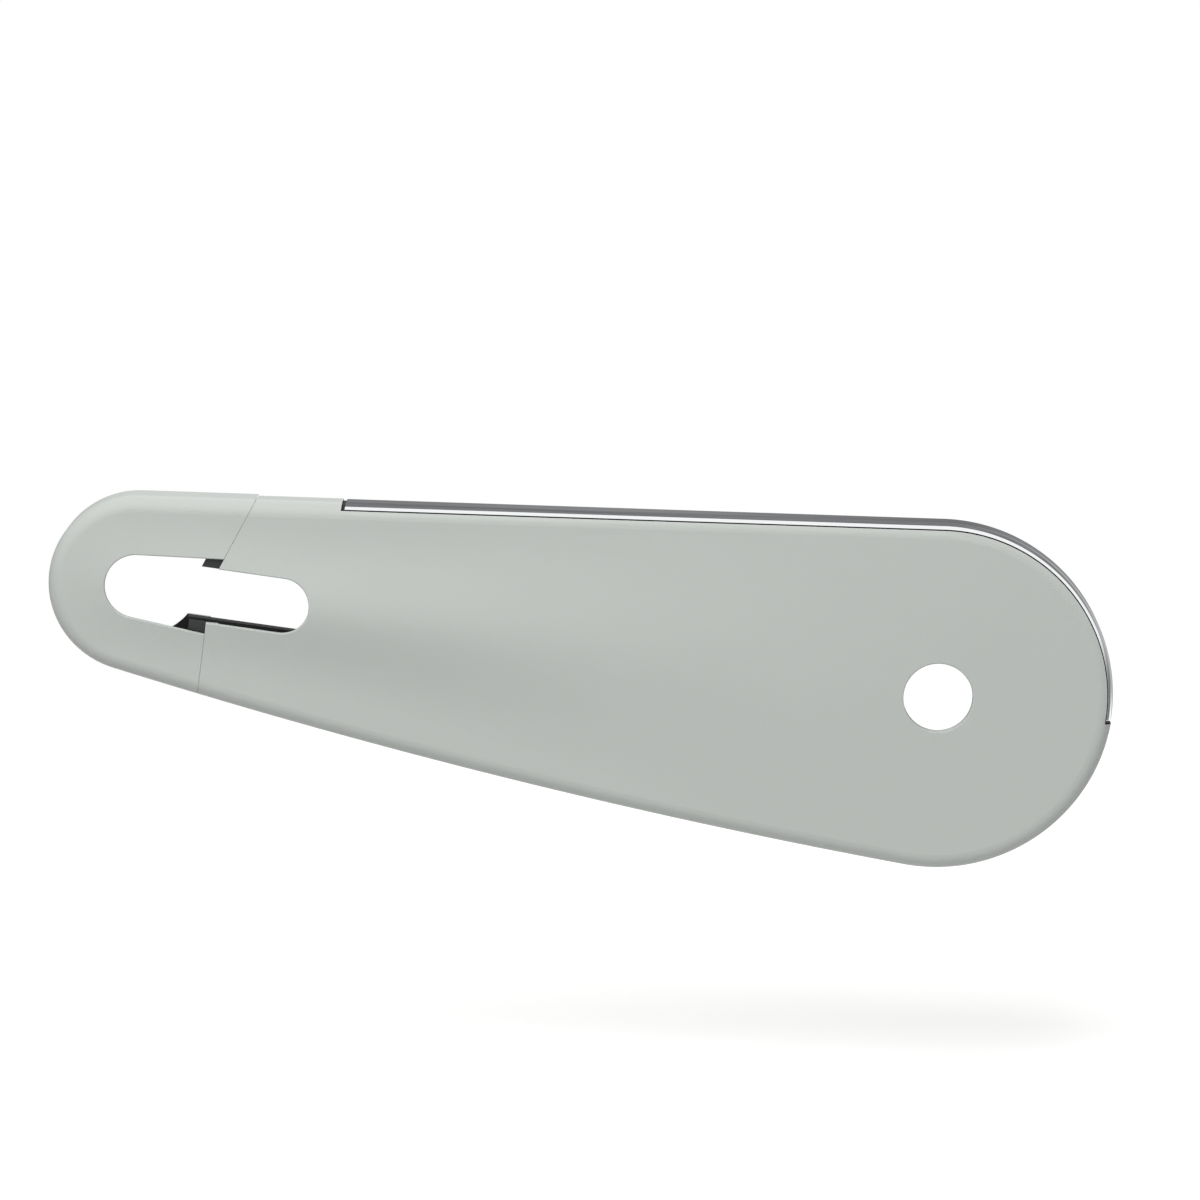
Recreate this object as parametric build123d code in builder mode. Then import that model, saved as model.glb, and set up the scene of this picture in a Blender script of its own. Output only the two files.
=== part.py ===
from build123d import *
import os
from math import acos, atan2, cos, degrees, hypot, radians, sin, sqrt, tan

os.makedirs("parts", exist_ok=True)

# Closed chain case: an outer and an inner half that nest, a rear end cap and a bright strip.
# Millimetres. The front axis is the Y axis, X points forward, Z up, and the plane Y = 0 is the seat
# of the front bracket. Heights are measured from that seat towards the outer face, which looks to -Y.
# The centre line runs from the rear axis to the front axis. Sketches have their first axis along it,
# forward, and their second axis up.

# Axes and outline
stay_run = 518.0  # rear axis behind the front axis
stay_rise = 72.0  # rear axis above the front axis
nose_radius = 114.0
tail_radius = 58.0
belly_radius = 4300.0  # slow curve of the lower edge

# Section of the case
case_depth = 38.0
rim_depth = 24.0  # outer half, from the face to its open edge
rim_round = 10.0
back_round = 8.0
wall = 2.8  # outer half and end cap
back_wall = 2.4  # inner half
nest_gap = 0.3
nest_depth = 8.0  # inner half inside the outer one
edge_round = 0.8

# Bulge of the face, full at the front end of the slot and all but gone at the tail and the nose
bulge_height = 8.0
bulge_half_width = 52.0
fade_reach = 440.0  # from the rear axis
fade_height = 1.6
fade_half_width = 95.0
end_height = 0.2

# Round hole of the face with its turned-in collar
crank_hole_radius = 22.5
collar_wall = 2.0
collar_depth = 5.0

# Slots of the outer half and the end cap, measured from the rear axis
slot_radius = 17.8
slot_lift = 1.0  # slot's middle above the centre line
slot_reach = 94.5
dropout_radius = 20.6
dropout_taper = 5.0  # degrees, each side

# Seam of the end cap: square to the centre line below it, leaning forward above it
seam_low = 47.3
seam_high = 44.0
seam_lean = 20.6  # degrees
seam_gap = 0.6
tongue_length = 11.0
tongue_root = 8.0
tongue_wall = 2.0

# Bright strip in the rebate of the rim
strip_start = 126.5  # from the rear axis
strip_width = 4.2  # as seen on the face
strip_thickness = 0.8
strip_recess = 0.4  # below the painted surface
strip_bed = 0.1  # under the strip
strip_hook = 2.0  # turned in behind the rim's edge
strip_side_gap = 0.5
strip_end_gap = 2.3

# Inner half
motor_opening_radius = 49.0
stay_opening_radius = 20.0
stay_opening_reach = 310.0
lip_height = 6.0
lip_wall = 2.0
inner_lap = 14.0  # under the end cap
hub_opening_radius = 38.0
rib_count = 6
rib_wall = 1.8
rib_height = 4.0

# Self-tapping screws of the halves and the end cap
tapping_radius = 1.75
tapping_head_radius = 3.5
tapping_head_height = 2.4
shell_screw_length = 13.0
cap_screw_length = 9.5
screw_floor = 2.5  # plastic under a sunk head
head_clearance = 0.4
thread_gap = 0.05
tip_clearance = 1.0
pan_round = 0.6  # of the head's height
boss_radius = 5.5
boss_clearance = 2.0  # to the inner rim
cap_boss_radius = 4.0
cap_boss_height = 7.0
nose_screws = 3
rail_screws = 2

# Machine screws, washers and nuts of the brackets
bolt_radius = 2.5
bolt_clearance = 0.25
bolt_head_radius = 4.75
bolt_head_height = 3.3
bolt_length = 13.0
washer_radius = 5.0
washer_thickness = 1.0
countersink_angle = 90.0  # degrees
nut_sides = 6
nut_flats = 8.0
nut_height = 4.0

# Front bracket
bracket_thickness = 2.5
bracket_bore_radius = 35.0
bracket_ring_radius = 52.0
bracket_ears = 3
ear_circle_radius = 57.0
ear_radius = 9.0
ear_blend = 5.0
motor_bolt_circle_radius = 42.0
motor_bolt_hole_radius = 2.75

# Rear bracket, a bent angle below the centre line
angle_reach = 235.0  # middle, from the rear axis
angle_width = 36.0
angle_leg = 27.0
angle_arm = 24.0
angle_bend = 2.5  # inside radius
angle_corner = 6.0
angle_screw_pitch = 20.0
angle_hole_radius = 3.0
angle_hole_reach = 13.0  # from the seat plane

# Worked out from the driving dimensions
stay_length = hypot(stay_run, stay_rise)
stay_fall = degrees(atan2(stay_rise, stay_run))
crank = Vector(0, 0)
hub = Vector(-stay_length, 0)
inner_inset = wall + nest_gap
case_back = bracket_thickness - inner_inset
case_front = case_back + case_depth
parting = case_front - rim_depth
bulge_room = 2 * bulge_height  # clear of the bulge
cut_depth = rim_depth + bulge_room
panel_front = bracket_thickness + back_wall
reach = stay_length + nose_radius + tail_radius  # longer than anything on the case
flat_angle = 30.0  # degrees, more than the face leans anywhere

# The upper edge touches both end rounds, and the lower edge is an arc round both
top_angle = degrees(acos((tail_radius - nose_radius) / stay_length))
nose_to_belly = belly_radius - nose_radius
tail_to_belly = belly_radius - tail_radius
belly_along = (tail_to_belly**2 - nose_to_belly**2 - stay_length**2) / (2 * stay_length)
belly_centre = Vector(belly_along, sqrt(nose_to_belly**2 - belly_along**2))
nose_low = degrees(atan2(-belly_centre.Y, -belly_centre.X))
tail_low = degrees(atan2(-belly_centre.Y, hub.X - belly_centre.X))


def stay_plane(height):
    """Plane at a height above the seat, on the front axis, with its first axis along the centre line."""
    fall = radians(stay_fall)
    return Plane(origin=(0, -height, 0), x_dir=(cos(fall), 0, -sin(fall)), z_dir=(0, -1, 0))


def across_stay(along):
    """Plane square to the centre line: first axis up, second axis the height."""
    level = stay_plane(0)
    return Plane(origin=level.from_local_coords((along, 0, 0)), x_dir=level.y_dir, z_dir=level.x_dir)


def at_points(points, height):
    """Places at a height over sketch points, facing outwards."""
    return [stay_plane(height).location * Location((point.X, point.Y, 0)) for point in points]


def outline(inset, height):
    """Outline of the case, taken in by inset."""
    with BuildSketch(stay_plane(height)) as sketch:
        with BuildLine():
            nose = CenterArc(crank, nose_radius - inset, nose_low, top_angle - nose_low)
            tail = CenterArc(hub, tail_radius - inset, top_angle, 360 + tail_low - top_angle)
            CenterArc(belly_centre, belly_radius - inset, tail_low, nose_low - tail_low)
            Line(nose @ 1, tail @ 0)
        make_face()
    return sketch.sketch


def face_section(along, height, half_width, inset):
    """Section across the centre line of everything behind the face, taken in by inset."""
    side = nose_radius + tail_radius
    back = case_back - wall
    level = case_front - inset
    with BuildSketch(across_stay(along)) as sketch:
        with BuildLine():
            bulge = Spline((-half_width, level), (0, level + height), (half_width, level),
                           tangents=((1, 0), (1, 0)))
            Polyline(bulge @ 1, (side, level), (side, back), (-side, back), (-side, level), bulge @ 0)
        make_face()
    return sketch.sketch


def face_block(inset):
    """Everything behind the bulging face."""
    tail_end = hub.X - tail_radius - wall
    slot_end = hub.X + slot_reach + slot_radius
    nose_end = crank.X + nose_radius + wall
    tail = face_section(tail_end, end_height, bulge_half_width, inset)
    full = face_section(slot_end, bulge_height, bulge_half_width, inset)
    fading = face_section(hub.X + fade_reach, fade_height, fade_half_width, inset)
    nose = face_section(nose_end, end_height, fade_half_width, inset)
    with BuildPart() as block:
        loft([tail, full, fading, nose])
    return block.part


def looks_out(face):
    """Whether a face looks outwards, leaning no more than the bulge does."""
    return face.normal_at().Y < -cos(radians(flat_angle))


def envelope(inset):
    """The whole case as one closed solid, taken in by inset on every side."""
    with BuildPart() as body:
        extrude(outline(inset, case_back + inset), amount=case_depth + bulge_room)
        add(face_block(inset), mode=Mode.INTERSECT)
        front = body.faces().filter_by(looks_out)
        fillet(front.edges() & (body.faces() - front).edges(), rim_round - inset)
        fillet(body.faces().sort_by(Axis.Y)[-1].edges(), back_round - inset)
    return body.part


def behind_seam(shift):
    """Everything behind the seam of the end cap, with the seam moved forward by shift."""
    low = hub.X + seam_low + shift
    high = hub.X + seam_high + shift
    lean = reach * tan(radians(seam_lean))
    with BuildPart() as region:
        with BuildSketch(stay_plane(-reach)):
            with BuildLine():
                Polyline((-2 * reach, -reach), (low, -reach), (low, 0), (high, 0), (high + lean, reach),
                         (-2 * reach, reach), close=True)
            make_face()
        extrude(amount=2 * reach)
    return region.part


def seam_point(side, shift, along):
    """Point beside the seam, at a distance from the centre line on the upper (1) or lower (-1) side."""
    foot = seam_high + along * tan(radians(seam_lean)) if side > 0 else seam_low
    return Vector(hub.X + foot + shift, side * along)


def slot_opening(radius, front, lift, height):
    """Round-ended slot along the centre line, from the rear axis to the middle of its front end."""
    with BuildSketch(stay_plane(height)) as sketch:
        with Locations((hub.X + front / 2, lift)):
            SlotCenterToCenter(front, 2 * radius)
    return sketch.sketch


def dropout_opening(height):
    """Slot of the end cap: round the rear axis, opening towards the seam."""
    taper = radians(dropout_taper)
    foot = Vector(hub.X - dropout_radius * sin(taper), dropout_radius * cos(taper))
    mouth = Vector(hub.X + slot_reach, (dropout_radius + slot_reach * sin(taper)) / cos(taper))
    with BuildSketch(stay_plane(height)) as sketch:
        with Locations(hub):
            Circle(dropout_radius)
        with BuildLine():
            Polyline(foot, mouth, (mouth.X, -mouth.Y), (foot.X, -foot.Y), close=True)
        make_face()
    return sketch.sketch


def strip_band(outer, inner, end_gap, back, depth):
    """Band between two insets of the outline along the strip's run, longer by end_gap at both ends."""
    with BuildPart() as band:
        extrude(outline(outer, back), amount=depth)
        extrude(outline(inner, back), amount=depth, mode=Mode.SUBTRACT)
        with BuildSketch(stay_plane(back)):
            with Locations((hub.X + strip_start - end_gap, -end_gap)):
                Rectangle(2 * reach, reach, align=(Align.MIN, Align.MIN))
        extrude(amount=depth, mode=Mode.INTERSECT)
    return band.part


def opening_edges(face, half_width):
    """Edges of the round hole or of a slot on the outer face, which lie close to the centre line."""
    edges = ShapeList()
    for edge in face.edges():
        points = [stay_plane(0).to_local_coords(edge @ share) for share in (0, 0.5, 1)]
        if all(abs(point.Y) < half_width and hub.X - half_width < point.X < half_width for point in points):
            edges.append(edge)
    return edges


def rail_points(inset):
    """Points spaced along the nose and both long edges, inside the outline by inset."""
    points = []
    for number in range(nose_screws):
        angle = nose_low + (top_angle - nose_low) * (number + 0.5) / nose_screws
        points.append(Vector(nose_radius - inset, 0).rotate(Axis.Z, angle))
    rear_top = hub + Vector(tail_radius - inset, 0).rotate(Axis.Z, top_angle)
    front_top = crank + Vector(nose_radius - inset, 0).rotate(Axis.Z, top_angle)
    for number in range(rail_screws):
        share = (number + 1) / (rail_screws + 1)
        points.append(rear_top + (front_top - rear_top) * share)
        belly_angle = tail_low + (nose_low - tail_low) * share
        points.append(belly_centre + Vector(belly_radius - inset, 0).rotate(Axis.Z, belly_angle))
    return points


def pan_screw(radius, head_radius, head_height, length):
    """Pan-head screw seated at its own origin, shank along its third axis."""
    with BuildPart() as screw:
        Cylinder(head_radius, head_height, align=(Align.CENTER, Align.CENTER, Align.MAX))
        fillet(screw.edges().sort_by(Axis.Z)[0], head_height * pan_round)
        Cylinder(radius, length, align=(Align.CENTER, Align.CENTER, Align.MIN))
    return screw.part


def flat_screw(radius, head_radius, length):
    """Countersunk screw with its flat head at its own origin, shank along its third axis."""
    head_height = (head_radius - radius) / tan(radians(countersink_angle / 2))
    with BuildPart() as screw:
        Cylinder(radius, length, align=(Align.CENTER, Align.CENTER, Align.MIN))
        Cone(head_radius, radius, head_height, align=(Align.CENTER, Align.CENTER, Align.MIN))
    return screw.part


# Places of the screws
boss_inset = inner_inset + back_wall + boss_clearance + boss_radius
shell_screw_points = rail_points(boss_inset)
shell_screw_seat = parting - screw_floor
prong_middle = (stay_opening_radius + lip_wall + tail_radius - inner_inset - back_wall) / 2
cap_screw_points = [seam_point(side, -inner_lap / 2, prong_middle) for side in (1, -1)]
ear_angles = [360 * number / bracket_ears for number in range(bracket_ears)]
ear_points = [Vector(ear_circle_radius, 0).rotate(Axis.Z, angle) for angle in ear_angles]
angle_top = -stay_opening_radius - lip_wall
angle_middle = hub.X + angle_reach
angle_screw_low = angle_top - (angle_leg + bracket_thickness + angle_bend) / 2
angle_points = [Vector(angle_middle + side * angle_screw_pitch / 2, angle_screw_low) for side in (-1, 1)]
bolt_hole_radius = bolt_radius + bolt_clearance

# Shapes that several pieces share
case_body = envelope(0)
case_hollow = envelope(wall)
nest_body = envelope(inner_inset)
half_skin = envelope(wall / 2)

# Outer half
with BuildPart() as lap_tongue:
    add(half_skin)
    add(envelope(inner_inset + tongue_wall), mode=Mode.SUBTRACT)
    split(bisect_by=stay_plane(parting + nest_depth + nest_gap), keep=Keep.TOP)
    add(behind_seam(tongue_root), mode=Mode.INTERSECT)
    add(behind_seam(-tongue_length), mode=Mode.SUBTRACT)

with BuildPart() as lap_relief:
    add(behind_seam(seam_gap / 2))
    add(nest_body, mode=Mode.SUBTRACT)

with BuildPart() as shell_bosses:
    with BuildSketch(stay_plane(parting)):
        with Locations(*shell_screw_points):
            Circle(boss_radius)
    extrude(amount=rim_depth)
    add(half_skin, mode=Mode.INTERSECT)

with BuildPart() as strip_rebate:
    add(strip_band(-wall, strip_width + strip_side_gap, strip_end_gap, parting - nest_depth, case_depth))
    add(envelope(strip_recess + strip_thickness + strip_bed), mode=Mode.SUBTRACT)

with BuildPart() as outer_shell:
    add(case_body)
    add(case_hollow, mode=Mode.SUBTRACT)
    split(bisect_by=stay_plane(parting), keep=Keep.TOP)
    with BuildSketch(stay_plane(case_front - wall - collar_depth)):
        Circle(crank_hole_radius + collar_wall)
    extrude(amount=collar_depth + wall / 2)
    add(lap_tongue.part)
    add(lap_relief.part, mode=Mode.SUBTRACT)
    add(behind_seam(-tongue_length), mode=Mode.SUBTRACT)
    add(shell_bosses.part)
    with BuildSketch(stay_plane(parting)):
        Circle(crank_hole_radius)
    extrude(amount=cut_depth, mode=Mode.SUBTRACT)
    extrude(slot_opening(slot_radius, slot_reach, slot_lift, parting), amount=cut_depth, mode=Mode.SUBTRACT)
    add(strip_rebate.part, mode=Mode.SUBTRACT)
    with BuildSketch(stay_plane(parting)):
        with Locations(*shell_screw_points):
            Circle(tapping_radius + thread_gap)
    extrude(amount=shell_screw_length - screw_floor + tip_clearance, mode=Mode.SUBTRACT)
    face = outer_shell.faces().filter_by(looks_out).sort_by(SortBy.AREA)[-1]
    fillet(opening_edges(face, crank_hole_radius + edge_round), edge_round)
outer_shell.part.label = "outer_shell"
export_step(outer_shell.part, "parts/outer_shell.step")

# Rear end cap, one moulding with a lip on its back
with BuildPart() as rear_cap:
    add(case_body)
    add(case_hollow, mode=Mode.SUBTRACT)
    add(behind_seam(-seam_gap / 2), mode=Mode.INTERSECT)
    extrude(dropout_opening(parting), amount=cut_depth, mode=Mode.SUBTRACT)
    with BuildSketch(stay_plane(case_back)):
        with Locations(hub):
            Circle(hub_opening_radius)
    extrude(amount=parting - case_back, mode=Mode.SUBTRACT)
    extrude(slot_opening(stay_opening_radius, stay_opening_reach, 0, case_back), amount=parting - case_back,
            mode=Mode.SUBTRACT)
    with BuildSketch(stay_plane(case_back)):
        with Locations(*cap_screw_points):
            Circle(tapping_radius + head_clearance)
    extrude(amount=parting - case_back, mode=Mode.SUBTRACT)
    face = rear_cap.faces().filter_by(looks_out).sort_by(SortBy.AREA)[-1]
    fillet(opening_edges(face, hub_opening_radius), edge_round)
rear_cap.part.label = "rear_cap"
export_step(rear_cap.part, "parts/rear_cap.step")

# Bright strip, hooked behind the edge of the rim
hook_back = parting - strip_bed - strip_thickness
with BuildPart() as trim_strip:
    add(envelope(strip_recess))
    add(envelope(strip_recess + strip_thickness), mode=Mode.SUBTRACT)
    add(strip_band(-wall, strip_width, 0, hook_back, case_depth), mode=Mode.INTERSECT)
    add(strip_band(strip_recess, strip_recess + strip_hook, 0, hook_back, strip_thickness))
trim_strip.part.label = "trim_strip"
export_step(trim_strip.part, "parts/trim_strip.step")

# Inner half
with BuildPart() as inner_shell:
    add(nest_body)
    add(envelope(inner_inset + back_wall), mode=Mode.SUBTRACT)
    split(bisect_by=stay_plane(parting + nest_depth), keep=Keep.BOTTOM)
    with BuildSketch(stay_plane(panel_front)):
        Circle(motor_opening_radius + lip_wall)
    extrude(amount=lip_height)
    lip_outline = slot_opening(stay_opening_radius + lip_wall, stay_opening_reach, 0, panel_front)
    extrude(lip_outline, amount=lip_height)
    add(behind_seam(-inner_lap), mode=Mode.SUBTRACT)
    with BuildSketch(stay_plane(panel_front)):
        with Locations(*shell_screw_points):
            Circle(boss_radius)
    extrude(amount=parting - panel_front)
    with BuildSketch(stay_plane(panel_front)):
        with Locations(*cap_screw_points):
            Circle(cap_boss_radius)
    extrude(amount=cap_boss_height)
    rib_length = nose_radius - boss_inset - boss_radius - boss_clearance - motor_opening_radius
    with BuildSketch(stay_plane(panel_front)):
        with PolarLocations(motor_opening_radius, rib_count, start_angle=180 / rib_count):
            Rectangle(rib_length, rib_wall, align=(Align.MIN, Align.CENTER))
    extrude(amount=rib_height)
    with BuildSketch(stay_plane(0)):
        Circle(motor_opening_radius)
        with Locations(*ear_points, *angle_points):
            Circle(bolt_hole_radius)
    extrude(amount=parting, mode=Mode.SUBTRACT)
    extrude(slot_opening(stay_opening_radius, stay_opening_reach, 0, 0), amount=parting, mode=Mode.SUBTRACT)
    with Locations(*at_points(shell_screw_points, 0)):
        Cylinder(tapping_radius + head_clearance, parting, align=(Align.CENTER, Align.CENTER, Align.MIN),
                 mode=Mode.SUBTRACT)
        Cylinder(tapping_head_radius + head_clearance, shell_screw_seat,
                 align=(Align.CENTER, Align.CENTER, Align.MIN), mode=Mode.SUBTRACT)
    with BuildSketch(stay_plane(0)):
        with Locations(*cap_screw_points):
            Circle(tapping_radius + thread_gap)
    extrude(amount=panel_front + cap_boss_height, mode=Mode.SUBTRACT)
inner_shell.part.label = "inner_shell"
export_step(inner_shell.part, "parts/inner_shell.step")

# Screws of the halves and of the end cap
shell_screw = pan_screw(tapping_radius, tapping_head_radius, tapping_head_height, shell_screw_length)
with BuildPart() as shell_screws:
    with Locations(*at_points(shell_screw_points, shell_screw_seat)):
        add(shell_screw)
shell_screws.part.label = "shell_screws"
export_step(shell_screws.part, "parts/shell_screws.step")

cap_screw = pan_screw(tapping_radius, tapping_head_radius, tapping_head_height, cap_screw_length)
with BuildPart() as cap_screws:
    with Locations(*at_points(cap_screw_points, case_back)):
        add(cap_screw)
cap_screws.part.label = "cap_screws"
export_step(cap_screws.part, "parts/cap_screws.step")

# Front bracket, a lobed plate
with BuildPart() as front_bracket:
    with BuildSketch(stay_plane(0)) as plate:
        Circle(bracket_ring_radius)
        with Locations(*ear_points):
            Circle(ear_radius)
        fillet(plate.vertices(), ear_blend)
        Circle(bracket_bore_radius, mode=Mode.SUBTRACT)
        with PolarLocations(motor_bolt_circle_radius, bracket_ears, start_angle=180 / bracket_ears):
            Circle(motor_bolt_hole_radius, mode=Mode.SUBTRACT)
    extrude(amount=bracket_thickness)
    with Locations(*[place * Rotation(180, 0, 0) for place in at_points(ear_points, 0)]):
        CounterSinkHole(bolt_hole_radius, bolt_head_radius + bolt_clearance,
                        counter_sink_angle=countersink_angle)
front_bracket.part.label = "front_bracket"
export_step(front_bracket.part, "parts/front_bracket.step")

# Rear bracket, an angle whose arm stands off below the centre line
with BuildPart() as rear_bracket:
    with BuildSketch(across_stay(angle_middle - angle_width / 2)):
        with BuildLine():
            middle = bracket_thickness / 2
            FilletPolyline((angle_top - angle_leg, middle), (angle_top - middle, middle),
                           (angle_top - middle, -angle_arm), radius=angle_bend + middle)
        trace(line_width=bracket_thickness)
    extrude(amount=angle_width)
    up = stay_plane(0).y_dir
    leg_end = rear_bracket.faces().sort_by(Axis((0, 0, 0), up))[0]
    arm_end = rear_bracket.faces().sort_by(Axis.Y)[-1]
    fillet(leg_end.edges().filter_by(Axis.Y), angle_corner)
    fillet(arm_end.edges().filter_by(Axis((0, 0, 0), up)), angle_corner)
    with Locations(*at_points(angle_points, bracket_thickness)):
        Hole(bolt_hole_radius)
    hole_foot = stay_plane(-angle_hole_reach).from_local_coords((angle_middle, angle_top, 0))
    with Locations(Plane(origin=hole_foot, x_dir=stay_plane(0).x_dir, z_dir=up)):
        Hole(angle_hole_radius, depth=bracket_thickness)
rear_bracket.part.label = "rear_bracket"
export_step(rear_bracket.part, "parts/rear_bracket.step")

# Screws, washers and nuts of both brackets, with the nuts inside the case
flat_head = flat_screw(bolt_radius, bolt_head_radius, bolt_length)
pan_head = pan_screw(bolt_radius, bolt_head_radius, bolt_head_height, bolt_length)
fixings = [("front_bracket", ear_points, flat_head), ("rear_bracket", angle_points, pan_head)]
for bracket, points, screw in fixings:
    with BuildPart() as screws:
        with Locations(*at_points(points, 0)):
            add(screw)
    screws.part.label = bracket + "_screws"
    export_step(screws.part, "parts/" + bracket + "_screws.step")
    with BuildPart() as washers:
        with BuildSketch(stay_plane(panel_front)):
            with Locations(*points):
                Circle(washer_radius)
                Circle(bolt_hole_radius, mode=Mode.SUBTRACT)
        extrude(amount=washer_thickness)
    washers.part.label = bracket + "_washers"
    export_step(washers.part, "parts/" + bracket + "_washers.step")
    with BuildPart() as nuts:
        with BuildSketch(stay_plane(panel_front + washer_thickness)):
            with Locations(*points):
                RegularPolygon(nut_flats / 2, nut_sides, major_radius=False)
                Circle(bolt_radius + thread_gap, mode=Mode.SUBTRACT)
        extrude(amount=nut_height)
    nuts.part.label = bracket + "_nuts"
    export_step(nuts.part, "parts/" + bracket + "_nuts.step")
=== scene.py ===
import math

import bmesh
import bpy
from mathutils import Matrix, Vector
from mathutils.bvhtree import BVHTree


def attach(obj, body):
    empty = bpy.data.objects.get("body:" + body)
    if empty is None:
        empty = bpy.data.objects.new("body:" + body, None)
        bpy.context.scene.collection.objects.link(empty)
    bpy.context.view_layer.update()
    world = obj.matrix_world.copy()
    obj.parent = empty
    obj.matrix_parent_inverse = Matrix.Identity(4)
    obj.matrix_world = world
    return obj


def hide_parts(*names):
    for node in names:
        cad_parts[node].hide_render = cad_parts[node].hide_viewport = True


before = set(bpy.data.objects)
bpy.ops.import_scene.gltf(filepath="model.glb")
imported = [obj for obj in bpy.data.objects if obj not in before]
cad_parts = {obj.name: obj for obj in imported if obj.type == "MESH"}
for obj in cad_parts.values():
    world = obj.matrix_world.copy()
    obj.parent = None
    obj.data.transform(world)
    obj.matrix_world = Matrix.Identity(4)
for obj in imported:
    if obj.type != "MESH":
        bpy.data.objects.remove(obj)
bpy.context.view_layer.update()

mm = 0.001             # the settings are in millimetres, Blender works in metres
weld = 0.001 * mm      # corners nearer than this become one
planeReach = 0.0001    # a corner this near to a cutting plane lies on it
white = (1, 1, 1, 1)
print("frame loaded,", len(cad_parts), "nodes")


def hexColour(code):
    # sRGB to linear
    channels = [int(code[i:i + 2], 16) / 255 for i in (1, 3, 5)]
    linear = [c / 12.92 if c <= 0.04045 else ((c + 0.055) / 1.055) ** 2.4 for c in channels]
    return (*linear, 1.0)


def addNode(tree, kind, settings=None, inputs=None):
    node = tree.nodes.new(kind)
    for key, value in (settings or {}).items():
        setattr(node, key, value)
    for key, value in (inputs or {}).items():
        if isinstance(value, bpy.types.NodeSocket):
            tree.links.new(value, node.inputs[key])
        else:
            node.inputs[key].default_value = value
    return node


def emptyMaterial(name):
    material = bpy.data.materials.new(name)
    material.use_nodes = True
    material.node_tree.nodes.clear()
    return material, material.node_tree


def newMaterial(name):
    material, tree = emptyMaterial(name)
    shader = addNode(tree, "ShaderNodeBsdfPrincipled")
    addNode(tree, "ShaderNodeOutputMaterial", inputs={"Surface": shader.outputs["BSDF"]})
    coords = addNode(tree, "ShaderNodeTexCoord").outputs["Object"]
    return material, tree, shader, coords


# sockets of a Mix node that mixes colours
mixFirst = 6
mixSecond = 7
mixResult = 2

# ABS sprayed with a satin coat: even pale colour, soft gloss, a trace of orange peel
satinPaint = {
    "colour": "#b9bdb9",
    "cloud": "#b4b8b4",    # faint clouding between spray passes
    "cloudSize": 140.0,
    "roughness": (0.48, 0.58),
    "peelSize": 2.2,       # real peel is about 1 mm, drawn coarser so that it shows
    "peelDepth": 0.012,
}


def makeSatinPaint(s):
    material, tree, shader, coords = newMaterial("satinPaintOnAbs")
    clouds = addNode(tree, "ShaderNodeTexNoise",
                     inputs={"Vector": coords, "Scale": 1 / (s["cloudSize"] * mm), "Detail": 3.0})
    colour = addNode(tree, "ShaderNodeMix", {"data_type": "RGBA"},
                     {"Factor": clouds.outputs["Fac"],
                      mixFirst: hexColour(s["colour"]), mixSecond: hexColour(s["cloud"])})
    tree.links.new(colour.outputs[mixResult], shader.inputs["Base Color"])
    peel = addNode(tree, "ShaderNodeTexNoise",
                   inputs={"Vector": coords, "Scale": 1 / (s["peelSize"] * mm), "Detail": 1.0})
    smoothest, roughest = s["roughness"]
    gloss = addNode(tree, "ShaderNodeMapRange",
                    inputs={"Value": peel.outputs["Fac"], "To Min": smoothest, "To Max": roughest})
    tree.links.new(gloss.outputs["Result"], shader.inputs["Roughness"])
    bump = addNode(tree, "ShaderNodeBump",
                   inputs={"Height": peel.outputs["Fac"], "Distance": s["peelDepth"] * mm, "Strength": 1.0})
    tree.links.new(bump.outputs["Normal"], shader.inputs["Normal"])
    return material


# bare black ABS from a spark-eroded mould: dull, with a fine even grain
blackAbs = {
    "colour": "#1b1c1d",
    "rubbed": "#252627",
    "roughness": (0.5, 0.66),
    "grainSize": 1.4,      # real grain is about 0.3 mm, drawn coarser so that it shows
    "grainDepth": 0.03,
}


def makeBlackAbs(s):
    material, tree, shader, coords = newMaterial("mouldedBlackAbs")
    grain = addNode(tree, "ShaderNodeTexNoise",
                    inputs={"Vector": coords, "Scale": 1 / (s["grainSize"] * mm),
                            "Detail": 4.0, "Roughness": 0.6})
    colour = addNode(tree, "ShaderNodeMix", {"data_type": "RGBA"},
                     {"Factor": grain.outputs["Fac"],
                      mixFirst: hexColour(s["colour"]), mixSecond: hexColour(s["rubbed"])})
    tree.links.new(colour.outputs[mixResult], shader.inputs["Base Color"])
    smoothest, roughest = s["roughness"]
    gloss = addNode(tree, "ShaderNodeMapRange",
                    inputs={"Value": grain.outputs["Fac"], "To Min": smoothest, "To Max": roughest})
    tree.links.new(gloss.outputs["Result"], shader.inputs["Roughness"])
    bump = addNode(tree, "ShaderNodeBump",
                   inputs={"Height": grain.outputs["Fac"], "Distance": s["grainDepth"] * mm,
                           "Strength": 1.0})
    tree.links.new(bump.outputs["Normal"], shader.inputs["Normal"])
    return material


# chrome-plated strip: a mirror with a faint wiping haze
chromePlate = {
    "colour": "#f4f5f6",
    "roughness": (0.03, 0.07),
    "hazeSize": 18.0,
}


def makeChromePlate(s):
    material, tree, shader, coords = newMaterial("chromePlate")
    shader.inputs["Base Color"].default_value = hexColour(s["colour"])
    shader.inputs["Metallic"].default_value = 1.0
    haze = addNode(tree, "ShaderNodeTexNoise",
                   inputs={"Vector": coords, "Scale": 1 / (s["hazeSize"] * mm), "Detail": 3.0})
    smoothest, roughest = s["roughness"]
    gloss = addNode(tree, "ShaderNodeMapRange",
                    inputs={"Value": haze.outputs["Fac"], "To Min": smoothest, "To Max": roughest})
    tree.links.new(gloss.outputs["Result"], shader.inputs["Roughness"])
    return material


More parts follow.
